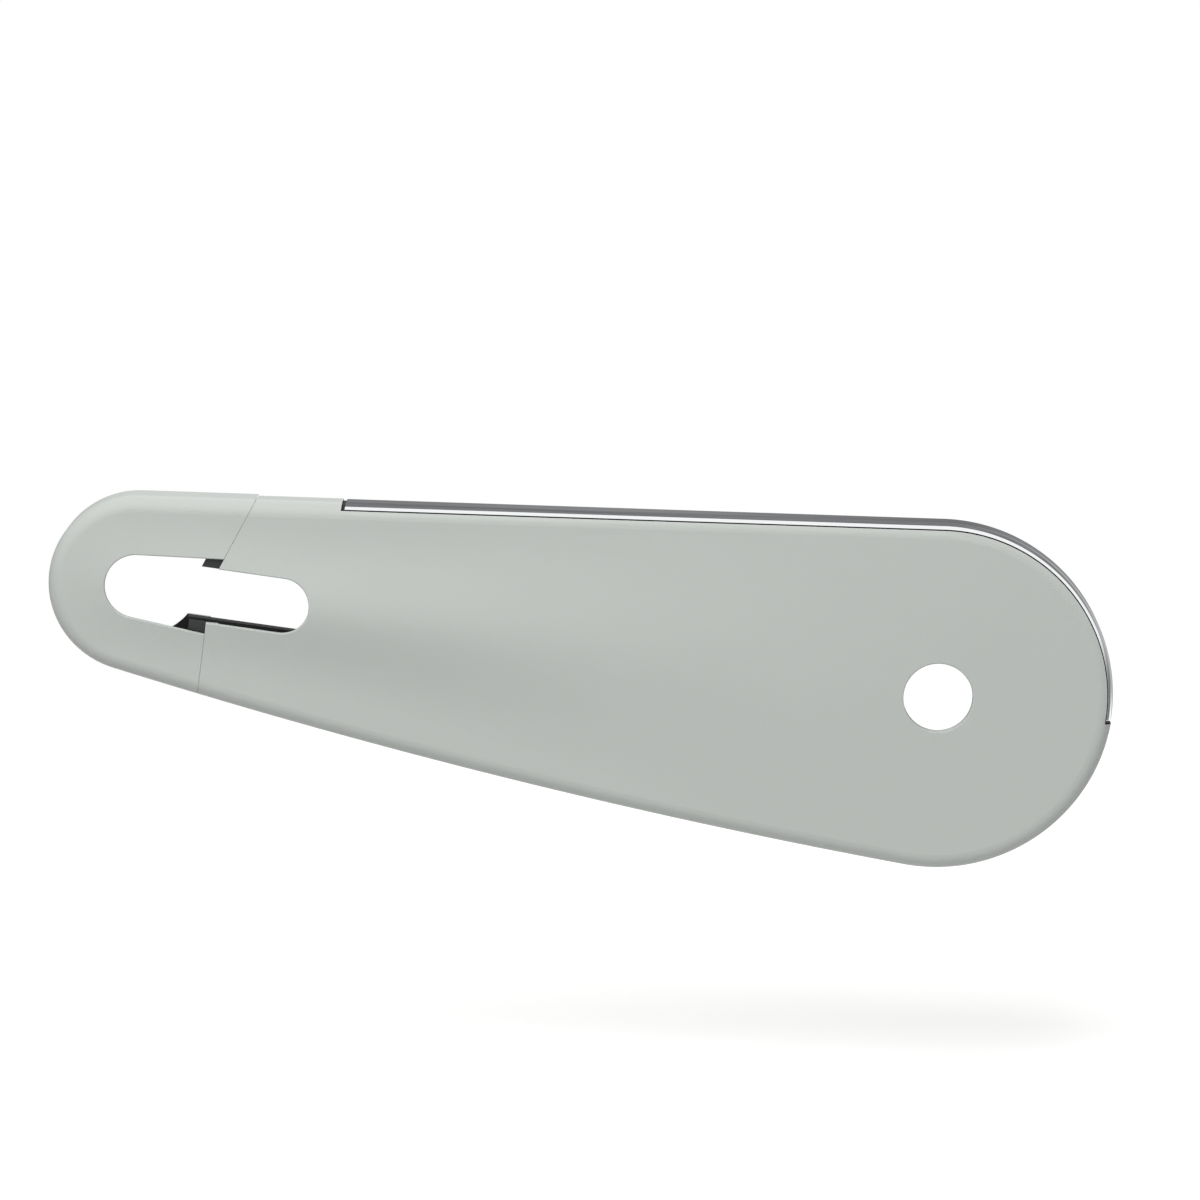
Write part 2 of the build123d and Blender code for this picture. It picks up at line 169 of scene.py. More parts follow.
# bright zinc on steel: bluish grey, with a straw tint where the passivation is thicker
zincPlate = {
    "colour": "#989da2",
    "straw": "#a19c8b",
    "tintSize": 9.0,
    "roughness": (0.26, 0.42),
    "grainSize": 0.9,      # real grain is finer than a pixel, drawn coarser so that it shows
    "grainDepth": 0.01,
}


def makeZincPlate(s):
    material, tree, shader, coords = newMaterial("brightZincPlate")
    shader.inputs["Metallic"].default_value = 1.0
    tint = addNode(tree, "ShaderNodeTexNoise",
                   inputs={"Vector": coords, "Scale": 1 / (s["tintSize"] * mm), "Detail": 4.0})
    colour = addNode(tree, "ShaderNodeMix", {"data_type": "RGBA"},
                     {"Factor": tint.outputs["Fac"],
                      mixFirst: hexColour(s["colour"]), mixSecond: hexColour(s["straw"])})
    tree.links.new(colour.outputs[mixResult], shader.inputs["Base Color"])
    grain = addNode(tree, "ShaderNodeTexNoise",
                    inputs={"Vector": coords, "Scale": 1 / (s["grainSize"] * mm), "Detail": 2.0})
    smoothest, roughest = s["roughness"]
    gloss = addNode(tree, "ShaderNodeMapRange",
                    inputs={"Value": grain.outputs["Fac"], "To Min": smoothest, "To Max": roughest})
    tree.links.new(gloss.outputs["Result"], shader.inputs["Roughness"])
    bump = addNode(tree, "ShaderNodeBump",
                   inputs={"Height": grain.outputs["Fac"], "Distance": s["grainDepth"] * mm,
                           "Strength": 1.0})
    tree.links.new(bump.outputs["Normal"], shader.inputs["Normal"])
    return material


paintMaterial = makeSatinPaint(satinPaint)
blackMaterial = makeBlackAbs(blackAbs)
chromeMaterial = makeChromePlate(chromePlate)
zincMaterial = makeZincPlate(zincPlate)
print("materials made")


def meshFrom(bm, name):
    mesh = bpy.data.meshes.new(name)
    bm.to_mesh(mesh)
    bm.free()
    return mesh


def addPiece(mesh, name, node):
    piece = bpy.data.objects.new(name, mesh)
    bpy.context.scene.collection.objects.link(piece)
    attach(piece, "root")
    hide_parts(node)
    return piece


def nodeTree(names):
    # the triangles of some solids, for rays and distances
    corners = []
    triangles = []
    for name in names:
        start = len(corners)
        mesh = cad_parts[name].data
        corners += [v.co.copy() for v in mesh.vertices]
        triangles += [[start + i for i in face.vertices] for face in mesh.polygons]
    return BVHTree.FromPolygons(corners, triangles)


sprayTree = nodeTree(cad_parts)
stripTree = nodeTree(["trim_strip"])

# the centre line of the case, from its rear to its front end, as X and Z in millimetres
rearEnd = Vector((-518.0, 72.0))
frontEnd = Vector((0.0, 0.0))
along = (frontEnd - rearEnd).normalized()
upward = Vector((-along.y, along.x))
caseLength = (frontEnd - rearEnd).length


def onCentreLine(point):
    # how far a point is along the centre line, from its rear end, and above it
    offset = Vector((point.x, point.z)) / mm - rearEnd
    return offset.dot(along), offset.dot(upward)


# chromed strip: thin sheet bent over the rim, with a mirror that runs smoothly round the nose
strip = {
    "recess": 0.42, "thickness": 0.8, "width": 4.0, "hook": 2.0,
    "rimRound": 10.0,
    "face": 37.4,          # height of the face, towards -Y
    "back": 12.5,          # height of the strip's back edge
    "noseRadius": 114.0, "tailRadius": 58.0,
    "start": 126.5,        # from the rear end of the centre line
    "seatShadeMargin": 0.7, "seatShadeEnds": 2.6, "seatDepth": 0.3,  # the seat round the strip, left black as painted shade in its gap
    "bendSteps": 16, "noseSteps": 180,
    "edgeBreak": 0.05,
    "corner": 40.0,        # edges that bend more, in degrees, are broken
    "sharp": 25.0,         # edges that bend less are shaded smooth
}


def stripSection(s):
    # outer skin from the face round to the hook, then back along the inner skin, as inset and height
    centre = (s["rimRound"], s["face"] - s["rimRound"])
    points = []
    for inset, order in ((s["recess"], 1), (s["recess"] + s["thickness"], -1)):
        radius = s["rimRound"] - inset
        reach = math.acos((centre[0] - s["width"]) / radius)
        bend = [reach * (1 - i / s["bendSteps"]) for i in range(s["bendSteps"] + 1)]
        curve = [(centre[0] - radius * math.cos(a), centre[1] + radius * math.sin(a)) for a in bend]
        foot = s["back"] if order > 0 else s["back"] + s["thickness"]
        curve.append((inset, foot))
        curve.append((s["recess"] + s["hook"], foot))
        points += curve[::order]
    return points


def rimTop(s):
    # angle at the nose where the round meets the straight upper edge
    return math.acos((s["tailRadius"] - s["noseRadius"]) / caseLength)


def rimDepth(point, s):
    # how far a point lies under the skin of the upper rim
    run, rise = onCentreLine(point)
    run -= caseLength
    angle = min(math.atan2(rise, run), rimTop(s))
    inset = s["noseRadius"] - run * math.cos(angle) - rise * math.sin(angle)
    height = -point.y / mm - (s["face"] - s["rimRound"])
    if inset > s["rimRound"] or height < 0:
        return inset
    return s["rimRound"] - math.hypot(s["rimRound"] - inset, height)


def inStripSeatShade(point, s):
    # in the rebate, which reaches past the ends of the strip; its black there is painted shade in the gap
    # beside the strip
    gap = stripTree.find_nearest(point)[3] / mm
    return gap < s["seatShadeMargin"] or (gap < s["seatShadeEnds"] and rimDepth(point, s) > s["seatDepth"])


def makeStrip(node, name, s):
    # drawn in millimetres with the centre of the nose at the origin, then turned into the frame
    topAngle = rimTop(s)
    bm = bmesh.new()
    ring = [bm.verts.new(((s["noseRadius"] - inset) * math.cos(topAngle),
                          (s["noseRadius"] - inset) * math.sin(topAngle), height))
            for inset, height in stripSection(s)]
    loop = [bm.edges.new(pair) for pair in zip(ring, ring[1:] + ring[:1])]
    bmesh.ops.spin(bm, geom=ring + loop, cent=(0, 0, 0), axis=(0, 0, 1), angle=-topAngle,
                   steps=s["noseSteps"], use_merge=False, use_duplicate=False)
    straight = bmesh.ops.extrude_edge_only(bm, edges=loop)["geom"]
    moved = [v for v in straight if isinstance(v, bmesh.types.BMVert)]
    run = Vector((-math.sin(topAngle), math.cos(topAngle), 0)) * caseLength
    bmesh.ops.translate(bm, verts=moved, vec=run)
    everything = bm.verts[:] + bm.edges[:] + bm.faces[:]
    bmesh.ops.bisect_plane(bm, geom=everything, dist=planeReach, plane_co=(s["start"] - caseLength, 0, 0),
                           plane_no=(-1, 0, 0), clear_outer=True)
    bmesh.ops.holes_fill(bm, edges=[e for e in bm.edges if e.is_boundary], sides=0)
    bmesh.ops.recalc_face_normals(bm, faces=bm.faces)
    corner = math.radians(s["corner"])
    corners = [e for e in bm.edges if e.is_manifold and e.calc_face_angle() > corner]
    bmesh.ops.bevel(bm, geom=corners, offset=s["edgeBreak"], offset_type="OFFSET", affect="EDGES",
                    segments=2, profile=0.5, material=-1, clamp_overlap=True)
    turn = Matrix(((along.x, -along.y, 0, 0), (0, 0, -1, 0), (along.y, along.x, 0, 0), (0, 0, 0, 1)))
    bmesh.ops.transform(bm, matrix=Matrix.Scale(mm, 4) @ turn, verts=bm.verts)
    mesh = meshFrom(bm, name)
    mesh.materials.append(chromeMaterial)
    mesh.shade_smooth()
    mesh.set_sharp_from_angle(angle=math.radians(s["sharp"]))
    print(name, "faces:", len(mesh.polygons))
    addPiece(mesh, name, node)


makeStrip("trim_strip", "trim_strip_chromed", strip)


# painted mouldings: paint lands where the spray can reach, and the inside stays black
painting = {
    "reach": 300.0,        # a ray that travels this far is clear
    "lift": 0.05,
    "middle": -18.0,       # middle of the case's depth, in Y
    "lip": -2.3,           # inner side of the cap's back lip, in Y
    "seamLow": 47.3,       # from the rear end of the centre line
    "seamHigh": 44.0,
    "seamLean": 20.6,      # degrees
    "seamGap": 0.6,
    "seamReach": 0.01,     # corners this near to the cap's edge are on it
    "capPress": 0.4,       # the cap is pressed home, so its edge comes this much nearer to the cover
}


def aheadOfSeam(point, s):
    # distance in front of the middle of the seam
    run, rise = onCentreLine(point)
    if rise < 0:
        return run - s["seamLow"]
    return run - s["seamHigh"] - rise * math.tan(math.radians(s["seamLean"]))


def weldedCopy(node, name, s):
    # welded, with the cap's edge pressed home and the exact normals put back on the corners
    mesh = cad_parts[node].data.copy()
    mesh.name = name
    normals = [corner.vector.copy() for corner in mesh.corner_normals]
    bm = bmesh.new()
    bm.from_mesh(mesh)
    surfaceNormal = bm.loops.layers.float_vector.new("surfaceNormal")
    for face, polygon in zip(bm.faces, mesh.polygons):
        for corner, index in zip(face.loops, polygon.loop_indices):
            corner[surfaceNormal] = normals[index]
    bmesh.ops.remove_doubles(bm, verts=bm.verts, dist=weld)
    capEdge = [v for v in bm.verts if abs(aheadOfSeam(v.co, s) + s["seamGap"] / 2) < s["seamReach"]]
    press = Vector((along.x, 0, along.y)) * s["capPress"] * mm
    bmesh.ops.translate(bm, verts=capEdge, vec=press)
    bm.to_mesh(mesh)
    bm.free()
    kept = [tuple(corner.vector) for corner in mesh.attributes["surfaceNormal"].data]
    mesh.normals_split_custom_set(kept)
    mesh.attributes.remove(mesh.attributes["surfaceNormal"])
    print(name, "welded,", len(mesh.polygons), "faces,", len(capEdge), "corners pressed home")
    return mesh


def isPainted(centre, normal, s):
    # clear to the front, or clear to the back on the outer side of a wall
    start = centre + normal * s["lift"] * mm
    reach = s["reach"] * mm
    if sprayTree.ray_cast(start, Vector((0, -1, 0)), reach)[0] is None:
        return True
    if sprayTree.ray_cast(start, Vector((0, 1, 0)), reach)[0] is not None:
        return False
    run = min(caseLength, max(0.0, onCentreLine(centre)[0]))
    nearest = rearEnd + along * run
    outward = centre / mm - Vector((nearest.x, s["middle"], nearest.y))
    return outward.dot(normal) > 0 or centre.y > s["lip"] * mm


def paintedMoulding(node, name, s, hasTongue):
    mesh = weldedCopy(node, name, s)
    mesh.materials.clear()
    mesh.materials.append(paintMaterial)
    mesh.materials.append(blackMaterial)
    painted = 0
    for face in mesh.polygons:
        coated = isPainted(face.center, face.normal, s)
        if hasTongue:
            onTongue = aheadOfSeam(face.center, s) < 0
            # the seat round the strip stays black as painted shade in the narrow gap beside it
            coated = coated and not onTongue and not inStripSeatShade(face.center, strip)
        face.material_index = 0 if coated else 1
        painted += coated
    print(name, "painted faces:", painted, "of", len(mesh.polygons))
    addPiece(mesh, name, node)


paintedMoulding("outer_shell", "outer_shell_painted", painting, hasTongue=True)
paintedMoulding("rear_cap", "rear_cap_painted", painting, hasTongue=False)


# zinc-plated brackets, with the sheared edges broken so that they catch the light
brackets = {
    "edgeBreak": 0.2,
    "flat": 1.0, "skew": 40.0,  # in degrees: triangles this near to flat and square become one face
    "corner": 60.0,        # edges that bend more are broken
    "sharp": 40.0,
}


def brokenEdges(node, name, s):
    bm = bmesh.new()
    bm.from_mesh(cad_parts[node].data)
    bmesh.ops.remove_doubles(bm, verts=bm.verts, dist=weld)
    bmesh.ops.join_triangles(bm, faces=bm.faces[:], angle_face_threshold=math.radians(s["flat"]),
                             angle_shape_threshold=math.radians(s["skew"]))
    corners = [e for e in bm.edges if e.calc_face_angle() > math.radians(s["corner"])]
    bmesh.ops.bevel(bm, geom=corners, offset=s["edgeBreak"] * mm, offset_type="OFFSET", affect="EDGES",
                    segments=3, profile=0.5, material=-1, clamp_overlap=False, loop_slide=False)
    mesh = meshFrom(bm, name)
    mesh.materials.append(zincMaterial)
    mesh.shade_smooth()
    mesh.set_sharp_from_angle(angle=math.radians(s["sharp"]))
    print(name, "faces:", len(mesh.polygons))
    piece = addPiece(mesh, name, node)
    piece.modifiers.new("flatFaces", "WEIGHTED_NORMAL").keep_sharp = True


brokenEdges("front_bracket", "front_bracket_plate", brackets)
brokenEdges("rear_bracket", "rear_bracket_angle", brackets)

# nodes whose shape is right keep it and get their finish
finishes = {
    "inner_shell": blackMaterial,
    "front_bracket_washers": zincMaterial,
    "rear_bracket_washers": zincMaterial,
}
for node, material in finishes.items():
    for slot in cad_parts[node].material_slots:
        slot.material = material
print("finishes set")


# screws and nuts: heads with a recess, and a real thread wound on each shank
tappingScrew = {
    "headRadius": 3.5, "headHeight": 2.4, "crown": 1.44,
    "drive": "star", "recess": 1.45, "recessDepth": 1.5,
    "crest": 1.75, "root": 1.3, "pitch": 1.3,
    "threadStart": 0.8, "threadEnd": 11.6, "length": 13.0, "tip": 0.5,
}
capScrew = dict(tappingScrew, threadEnd=7.7, length=9.5)  # three turns fewer
panBolt = {
    "headRadius": 4.75, "headHeight": 3.3, "crown": 1.98,
    "drive": "hexagon", "recess": 1.5, "recessDepth": 2.0,
    "crest": 2.5, "root": 2.1, "pitch": 0.8,
    "threadStart": 1.0, "threadEnd": 12.6, "length": 13.0, "tip": 1.8,
}
flatBolt = dict(panBolt, headHeight=0.0, crown=0.0, recessDepth=1.7, threadStart=2.6)
hexNut = {
    "flats": 8.0, "height": 4.0, "bore": 2.55, "boreChamfer": 0.4,
    "chamfer": 3.85, "chamferAngle": 30.0,
}
# what the screws and nuts share
screwForm = {
    "ringSteps": 48, "crownSteps": 5,
    "starPoints": 6, "starDepth": 0.17,        # of the recess's width
    "recessFloor": 0.86, "recessMouth": 1.06,  # of the recess's width
    "edgeBreak": 0.15, "flatEdge": 0.1,
    "runOut": 0.2,         # plain shank beside the thread
    "turnSteps": 24,
    "leadIn": 1.5, "spareTurns": 2,            # wound past both ends, and trimmed
    "rootEnd": 0.12, "crestStart": 0.46, "crestEnd": 0.56,  # of the pitch
    "sharp": 32.0,
}


def solidBoxes(node):
    # lowest and highest corner of each solid of a node
    bm = bmesh.new()
    bm.from_mesh(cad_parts[node].data)
    bmesh.ops.remove_doubles(bm, verts=bm.verts, dist=weld)
    boxes = []
    for first in bm.verts:
        if first.tag:
            continue
        first.tag = True
        reached = [first]
        for vert in reached:
            for edge in vert.link_edges:
                other = edge.other_vert(vert)
                if not other.tag:
                    other.tag = True
                    reached.append(other)
        low = Vector([min(v.co[i] for v in reached) for i in range(3)])
        high = Vector([max(v.co[i] for v in reached) for i in range(3)])
        boxes.append((low, high))
    bm.free()
    return boxes


def addRing(bm, radius, height, shape="round"):
    # one closed loop of edges; radius is half the width across the flats of a hexagon
    form = screwForm
    side = math.pi / 3
    verts = bmesh.ops.create_circle(bm, segments=form["ringSteps"], radius=radius * mm)["verts"]
    for vert in verts:
        angle = math.atan2(vert.co.y, vert.co.x)
        if shape == "hexagon":
            vert.co *= 1 / math.cos(angle % side - side / 2)
        elif shape == "star":
            vert.co *= 1 + form["starDepth"] * math.cos(form["starPoints"] * angle)
        vert.co.z = height * mm
    return [e for e in bm.edges if e.verts[0] in verts and e.verts[1] in verts]


def bridgeRings(bm, rings):
    for lower, upper in zip(rings, rings[1:]):
        bmesh.ops.bridge_loops(bm, edges=lower + upper)


def edgesAt(bm, height):
    level = height * mm
    return [e for e in bm.edges if e.is_boundary and all(abs(v.co.z - level) < weld for v in e.verts)]


def windThread(bm, s):
    # a tooth one pitch long is spun and raised, then trimmed square at both ends
    form = screwForm
    low, high, pitch = s["threadStart"], s["threadEnd"], s["pitch"]
    root, crest, steps = s["root"], s["crest"], form["turnSteps"]
    turns = math.ceil((high - low) / pitch) + form["spareTurns"]
    foot = low - form["leadIn"] * pitch
    outline = ((root, 0.0), (root, form["rootEnd"]), (crest, form["crestStart"]),
               (crest, form["crestEnd"]), (root, 1.0))
    tooth = [bm.verts.new((r * mm, 0, (foot + share * pitch) * mm)) for r, share in outline]
    sides = [bm.edges.new(pair) for pair in zip(tooth, tooth[1:])]
    bmesh.ops.spin(bm, geom=tooth + sides, cent=(0, 0, 0), axis=(0, 0, 1), dvec=(0, 0, pitch * mm / steps),
                   angle=2 * math.pi * turns, steps=steps * turns, use_merge=False, use_duplicate=False)
    bmesh.ops.remove_doubles(bm, verts=bm.verts, dist=weld)
    for height, direction in ((low, -1), (high, 1)):
        everything = bm.verts[:] + bm.edges[:] + bm.faces[:]
        bmesh.ops.bisect_plane(bm, geom=everything, dist=planeReach * mm, plane_co=(0, 0, height * mm),
                               plane_no=(0, 0, direction), clear_outer=True)


def screwMesh(s):
    # seated at the origin with its head below and its shank along Z
    form = screwForm
    bm = bmesh.new()
    windThread(bm, s)
    startLoop = edgesAt(bm, s["threadStart"])
    endLoop = edgesAt(bm, s["threadEnd"])
    top = -s["headHeight"]
    head, crown, recess = s["headRadius"], s["crown"], s["recess"]
    rings = [addRing(bm, recess * form["recessFloor"], top + s["recessDepth"], s["drive"]),
             addRing(bm, recess, top + form["edgeBreak"], s["drive"]),
             addRing(bm, recess * form["recessMouth"], top, s["drive"])]
    if s["headHeight"] > 0:
        for step in range(form["crownSteps"] + 1):
            angle = math.radians(90 * step / form["crownSteps"])
            rings.append(addRing(bm, head - crown * (1 - math.sin(angle)),
                                 top + crown * (1 - math.cos(angle))))
        rings.append(addRing(bm, head, -form["edgeBreak"]))
        rings.append(addRing(bm, head - form["edgeBreak"], 0))
        rings.append(addRing(bm, s["crest"], 0))
    else:
        rings.append(addRing(bm, head - form["flatEdge"], 0))
        rings.append(addRing(bm, head, form["flatEdge"]))
        rings.append(addRing(bm, s["crest"], s["threadStart"] - form["runOut"]))
    bridgeRings(bm, rings)
    bmesh.ops.edgeloop_fill(bm, edges=rings[0])
    bmesh.ops.bridge_loops(bm, edges=rings[-1] + startLoop)
    tip = [addRing(bm, s["root"], s["threadEnd"] + form["runOut"]), addRing(bm, s["tip"], s["length"])]
    bmesh.ops.bridge_loops(bm, edges=endLoop + tip[0])
    bridgeRings(bm, tip)
    bmesh.ops.edgeloop_fill(bm, edges=tip[1])
    bmesh.ops.recalc_face_normals(bm, faces=bm.faces)
    return meshFrom(bm, "oneScrew")


def nutMesh(s):
    bm = bmesh.new()
    top = s["height"]
    mouth = s["bore"] + s["boreChamfer"]
    rings = [addRing(bm, s["bore"], s["boreChamfer"]),
             addRing(bm, mouth, 0),
             addRing(bm, s["chamfer"], 0),
             addRing(bm, s["flats"] / 2, 0, "hexagon"),
             addRing(bm, s["flats"] / 2, top, "hexagon"),
             addRing(bm, s["chamfer"], top),
             addRing(bm, mouth, top),
             addRing(bm, s["bore"], top - s["boreChamfer"])]
    # the chamfer cuts deeper at the corners of the two hexagons
    for ring, way in ((rings[3], 1), (rings[4], -1)):
        for vert in {v for e in ring for v in e.verts}:
            width = math.hypot(vert.co.x, vert.co.y) - s["chamfer"] * mm
            vert.co.z += way * width * math.tan(math.radians(s["chamferAngle"]))
    bridgeRings(bm, rings)
    bmesh.ops.bridge_loops(bm, edges=rings[-1] + rings[0])
    bmesh.ops.recalc_face_normals(bm, faces=bm.faces)
    return meshFrom(bm, "oneNut")


def placeSet(node, name, makeSingle, s):
    # one copy of the piece at each solid of the node, its Z turned to the outer side of the case
    turn = Matrix(((1, 0, 0, 0), (0, 0, -1, 0), (0, 1, 0, 0), (0, 0, 0, 1)))
    single = makeSingle(s)
    seatDepth = s.get("headHeight", 0.0)  # a nut has no head
    bm = bmesh.new()
    for low, high in solidBoxes(node):
        middle = (low + high) / 2
        known = set(bm.verts)
        bm.from_mesh(single)
        added = [v for v in bm.verts if v not in known]
        place = Matrix.Translation((middle.x, high.y - seatDepth * mm, middle.z)) @ turn
        bmesh.ops.transform(bm, matrix=place, verts=added)
    bpy.data.meshes.remove(single)
    mesh = meshFrom(bm, name)
    mesh.materials.append(zincMaterial)
    mesh.shade_smooth()
    mesh.set_sharp_from_angle(angle=math.radians(screwForm["sharp"]))
    print(name, "faces:", len(mesh.polygons))
    addPiece(mesh, name, node)


placeSet("shell_screws", "shell_screws_threaded", screwMesh, tappingScrew)
placeSet("cap_screws", "cap_screws_threaded", screwMesh, capScrew)
placeSet("rear_bracket_screws", "rear_bracket_screws_threaded", screwMesh, panBolt)
placeSet("front_bracket_screws", "front_bracket_screws_threaded", screwMesh, flatBolt)
placeSet("rear_bracket_nuts", "rear_bracket_nuts_chamfered", nutMesh, hexNut)
placeSet("front_bracket_nuts", "front_bracket_nuts_chamfered", nutMesh, hexNut)
print("hardware made")


# studio, in metres: white floor, soft light from the front and from behind, a low lamp for the lower rim
studio = {
    "floorHeight": -0.279,
    "floorSize": 40.0,
    "floorColour": "#e9e9e8",
    "bounceColour": "#9c9c9b",  # what the floor throws back at the object
    "floorGlow": 0.28,
    "floorFade": (0.9, 1.8),  # the lit floor fades to plain white between these distances
    "ambient": 0.64,
}
# grey card behind, which shows only in reflections
backCard = {
    "place": (-0.2, 0.75, 1.66), "turn": (90.0, 0.0, 0.0),
    "width": 12.0, "height": 3.88,
    "colour": "#fcfdff",
    "strength": (0.14, 0.28),
    "cloudSize": 0.45,
    "cloudRange": (0.3, 0.7),
    "fade": (2.0, 5.6),    # to white, from the middle
    "clearRight": (0.25, 0.8),  # lighter low on the right, where the nose mirrors it
    "clearLow": (-0.76, -1.46),
    "clearStrength": 0.5,
}
# small grey card to the right, for the inner edge of the chrome low on the nose
sideCard = {
    "place": (0.55, 0.02, -0.05), "turn": (0.0, -90.0, 0.0),
    "width": 0.45, "height": 0.5,
    "colour": "#fcfdff",
    "strength": 0.2,
    "fadeUp": (0.0, 0.2),  # to nothing, from the middle
    "fadeBack": (0.02, 0.24),
}
lamps = (
    {"name": "keyBox", "place": (-0.7, -2.05, 2.25), "width": 1.9, "height": 1.7,
     "watts": 70.0, "mirrored": False},
    {"name": "backBox", "place": (-0.4, 2.6, 2.2), "width": 2.4, "height": 1.6,
     "watts": 26.0, "mirrored": True},
    {"name": "rimBox", "place": (-0.2, 0.01, -0.27), "width": 1.0, "height": 0.24,
     "watts": 0.36, "mirrored": False},
)
lampAim = (-0.2, 0.0, 0.05)
viewpoint = {
    "place": (-0.1619, -3.2874, 0.6370),
    "aim": (-0.2187, -0.0380, 0.0639),
    "lens": 153.49,
    "sensor": 36.0,
    "farthest": 200.0,
}


def aimAt(thing, target):
    direction = Vector(target) - thing.location
    thing.rotation_euler = direction.to_track_quat("-Z", "Y").to_euler()


def makeLamp(s):
    light = bpy.data.lights.new(s["name"], "AREA")
    light.shape = "RECTANGLE"
    light.size = s["width"]
    light.size_y = s["height"]
    light.energy = s["watts"]
    lamp = bpy.data.objects.new(s["name"], light)
    lamp.location = s["place"]
    lamp.visible_camera = False
    lamp.visible_glossy = s["mirrored"]  # where it isn't, it would burn out in the chrome
    aimAt(lamp, lampAim)
    bpy.context.scene.collection.objects.link(lamp)


def seenDirectly(tree):
    # 1 for camera, glossy and transmission rays
    path = addNode(tree, "ShaderNodeLightPath")
    first = addNode(tree, "ShaderNodeMath", {"operation": "MAXIMUM"},
                    {0: path.outputs["Is Camera Ray"], 1: path.outputs["Is Glossy Ray"]})
    second = addNode(tree, "ShaderNodeMath", {"operation": "MAXIMUM"},
                     {0: first.outputs[0], 1: path.outputs["Is Transmission Ray"]})
    return second.outputs[0]


def makeWorld(s):
    world = bpy.data.worlds.new("whiteStudio")
    world.use_nodes = True
    tree = world.node_tree
    tree.nodes.clear()
    strength = addNode(tree, "ShaderNodeMapRange",
                       inputs={"Value": seenDirectly(tree), "To Min": s["ambient"], "To Max": 1.0})
    back = addNode(tree, "ShaderNodeBackground",
                   inputs={"Color": white, "Strength": strength.outputs["Result"]})
    addNode(tree, "ShaderNodeOutputWorld", inputs={"Surface": back.outputs["Background"]})
    bpy.context.scene.world = world


def flatSheet(name, width, height):
    bm = bmesh.new()
    bmesh.ops.create_grid(bm, x_segments=1, y_segments=1, size=0.5)  # one metre square
    bmesh.ops.scale(bm, vec=(width, height, 1), verts=bm.verts)
    sheet = bpy.data.objects.new(name, meshFrom(bm, name))
    bpy.context.scene.collection.objects.link(sheet)
    return sheet


def makeFloor(s):
    floor = flatSheet("floor", s["floorSize"], s["floorSize"])
    floor.location = (0, 0, s["floorHeight"])
    material, tree = emptyMaterial("whiteFloor")
    floor.data.materials.append(material)
    plain = addNode(tree, "ShaderNodeBsdfDiffuse", inputs={"Color": hexColour(s["floorColour"])})
    bounce = addNode(tree, "ShaderNodeBsdfDiffuse", inputs={"Color": hexColour(s["bounceColour"])})
    glow = addNode(tree, "ShaderNodeEmission", inputs={"Color": white, "Strength": s["floorGlow"]})
    lit = addNode(tree, "ShaderNodeAddShader",
                  inputs={0: plain.outputs["BSDF"], 1: glow.outputs["Emission"]})
    distant = addNode(tree, "ShaderNodeEmission", inputs={"Color": white, "Strength": 1.0})
    coords = addNode(tree, "ShaderNodeTexCoord").outputs["Object"]
    away = addNode(tree, "ShaderNodeVectorMath", {"operation": "LENGTH"}, {0: coords})
    near, far = s["floorFade"]
    fade = addNode(tree, "ShaderNodeMapRange", {"interpolation_type": "SMOOTHSTEP"},
                   {"Value": away.outputs["Value"], "From Min": near, "From Max": far})
    shown = addNode(tree, "ShaderNodeMixShader",
                    inputs={0: fade.outputs["Result"], 1: lit.outputs["Shader"],
                            2: distant.outputs["Emission"]})
    mix = addNode(tree, "ShaderNodeMixShader",
                  inputs={0: seenDirectly(tree), 1: bounce.outputs["BSDF"], 2: shown.outputs["Shader"]})
    addNode(tree, "ShaderNodeOutputMaterial", inputs={"Surface": mix.outputs["Shader"]})


def newCard(name, materialName, s):
    # a sheet that shows only in reflections
    card = flatSheet(name, s["width"], s["height"])
    card.location = s["place"]
    card.rotation_euler = [math.radians(angle) for angle in s["turn"]]
    card.visible_camera = False
    card.visible_diffuse = False
    card.visible_shadow = False
    material, tree = emptyMaterial(materialName)
    card.data.materials.append(material)
    coords = addNode(tree, "ShaderNodeTexCoord").outputs["Object"]
    return tree, coords


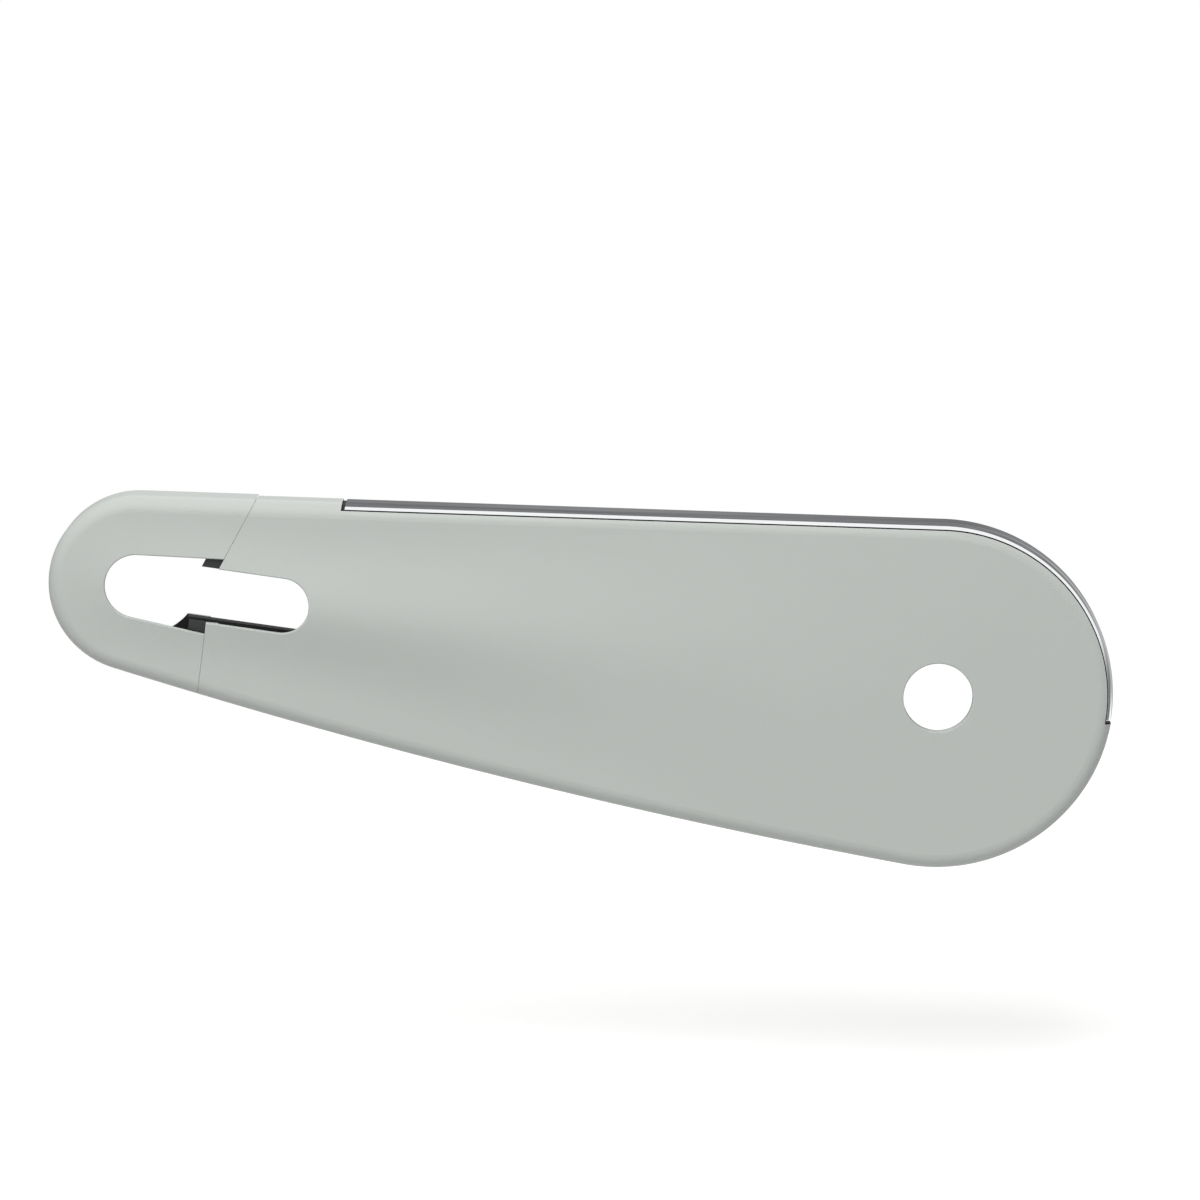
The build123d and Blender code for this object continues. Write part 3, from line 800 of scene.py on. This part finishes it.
def makeBackCard(s):
    tree, coords = newCard("backCard", "greyCard", s)
    clouds = addNode(tree, "ShaderNodeTexNoise",
                     inputs={"Vector": coords, "Scale": 1 / s["cloudSize"], "Detail": 2.0})
    thin, thick = s["cloudRange"]
    dark, light = s["strength"]
    strength = addNode(tree, "ShaderNodeMapRange",
                       inputs={"Value": clouds.outputs["Fac"], "From Min": thin, "From Max": thick,
                               "To Min": dark, "To Max": light})
    away = addNode(tree, "ShaderNodeVectorMath", {"operation": "LENGTH"}, {0: coords})
    near, far = s["fade"]
    faded = addNode(tree, "ShaderNodeMapRange", {"interpolation_type": "SMOOTHSTEP"},
                    {"Value": away.outputs["Value"], "From Min": near, "From Max": far,
                     "To Min": strength.outputs["Result"], "To Max": 1.0})
    spot = addNode(tree, "ShaderNodeSeparateXYZ", inputs={"Vector": coords})
    near, far = s["clearRight"]
    right = addNode(tree, "ShaderNodeMapRange", {"interpolation_type": "SMOOTHSTEP"},
                    {"Value": spot.outputs["X"], "From Min": near, "From Max": far})
    near, far = s["clearLow"]
    low = addNode(tree, "ShaderNodeMapRange", {"interpolation_type": "SMOOTHSTEP"},
                  {"Value": spot.outputs["Y"], "From Min": near, "From Max": far})
    clear = addNode(tree, "ShaderNodeMath", {"operation": "MULTIPLY"},
                    {0: right.outputs["Result"], 1: low.outputs["Result"]})
    shown = addNode(tree, "ShaderNodeMapRange",
                    inputs={"Value": clear.outputs[0], "To Min": faded.outputs["Result"],
                            "To Max": s["clearStrength"]})
    glow = addNode(tree, "ShaderNodeEmission",
                   inputs={"Color": hexColour(s["colour"]), "Strength": shown.outputs["Result"]})
    addNode(tree, "ShaderNodeOutputMaterial", inputs={"Surface": glow.outputs["Emission"]})


def makeSideCard(s):
    tree, coords = newCard("sideCard", "greySideCard", s)
    spot = addNode(tree, "ShaderNodeSeparateXYZ", inputs={"Vector": coords})
    near, far = s["fadeUp"]
    up = addNode(tree, "ShaderNodeMapRange", {"interpolation_type": "SMOOTHSTEP"},
                 {"Value": spot.outputs["X"], "From Min": near, "From Max": far})
    near, far = s["fadeBack"]
    back = addNode(tree, "ShaderNodeMapRange", {"interpolation_type": "SMOOTHSTEP"},
                   {"Value": spot.outputs["Y"], "From Min": near, "From Max": far})
    edge = addNode(tree, "ShaderNodeMath", {"operation": "MAXIMUM"},
                   {0: up.outputs["Result"], 1: back.outputs["Result"]})
    glow = addNode(tree, "ShaderNodeEmission",
                   inputs={"Color": hexColour(s["colour"]), "Strength": s["strength"]})
    gone = addNode(tree, "ShaderNodeBsdfTransparent")
    mix = addNode(tree, "ShaderNodeMixShader",
                  inputs={0: edge.outputs[0], 1: glow.outputs["Emission"], 2: gone.outputs["BSDF"]})
    addNode(tree, "ShaderNodeOutputMaterial", inputs={"Surface": mix.outputs["Shader"]})


def makeCamera(s):
    data = bpy.data.cameras.new("camera")
    data.lens = s["lens"]
    data.sensor_width = s["sensor"]
    data.clip_end = s["farthest"]
    camera = bpy.data.objects.new("camera", data)
    camera.location = s["place"]
    aimAt(camera, s["aim"])
    bpy.context.scene.collection.objects.link(camera)
    bpy.context.scene.camera = camera


makeWorld(studio)
makeFloor(studio)
makeBackCard(backCard)
makeSideCard(sideCard)
for lamp in lamps:
    makeLamp(lamp)
makeCamera(viewpoint)
bpy.context.scene.view_settings.view_transform = "Standard"
print("studio ready")
